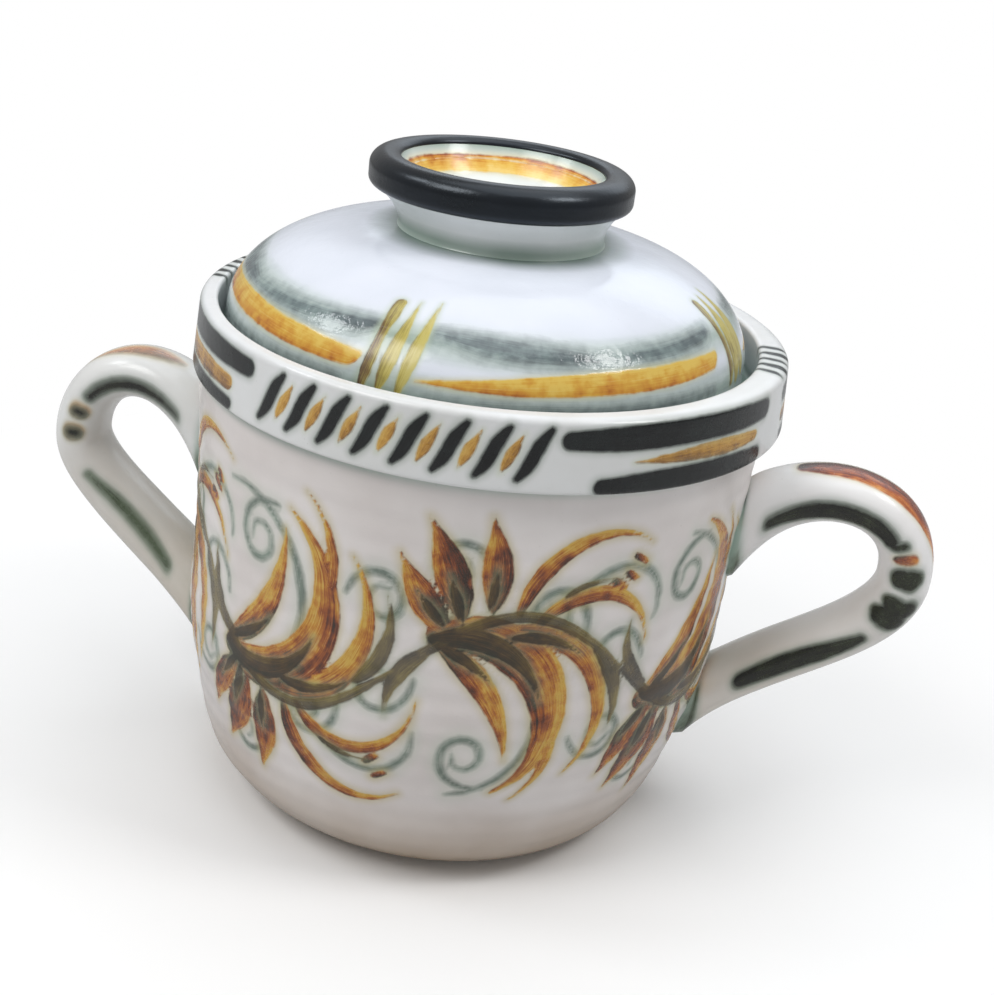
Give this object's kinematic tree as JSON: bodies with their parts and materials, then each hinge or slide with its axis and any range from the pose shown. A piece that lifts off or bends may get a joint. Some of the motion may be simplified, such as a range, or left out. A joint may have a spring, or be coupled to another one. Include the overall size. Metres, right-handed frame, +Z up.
{
  "type": "covered salt pot",
  "caption": "Round glazed salt pot with two side handles, a collar with a ledge inside, and a lift-off domed lid with a hollow ring-lipped knob.",
  "frame": {"origin": "centre of the pot's footprint, on the plane that it stands on", "axes": "+Z up along the pot's axis, +X through the right handle, so the handles lie along X"},
  "size_m": [0.208, 0.132, 0.1505],
  "materials": {
    "white_glaze": "glossy tin-white glaze over earthenware, painted with brush strokes in ochre, rust, olive and grey-green",
    "black_glaze": "glossy blue-black glaze"
  },
  "bodies": {
    "pot": {"jar": "white_glaze", "collar": "white_glaze", "handle_left": "white_glaze", "handle_right": "white_glaze"},
    "lid": {"lid": "white_glaze", "knob_cup": "white_glaze", "knob_lip": "black_glaze"}
  },
  "joints": [
    {"name": "lid_lift", "type": "slide", "parent": "pot", "child": "lid", "axis": [0, 0, 1], "range_m": [0, 0.08]}
  ]
}
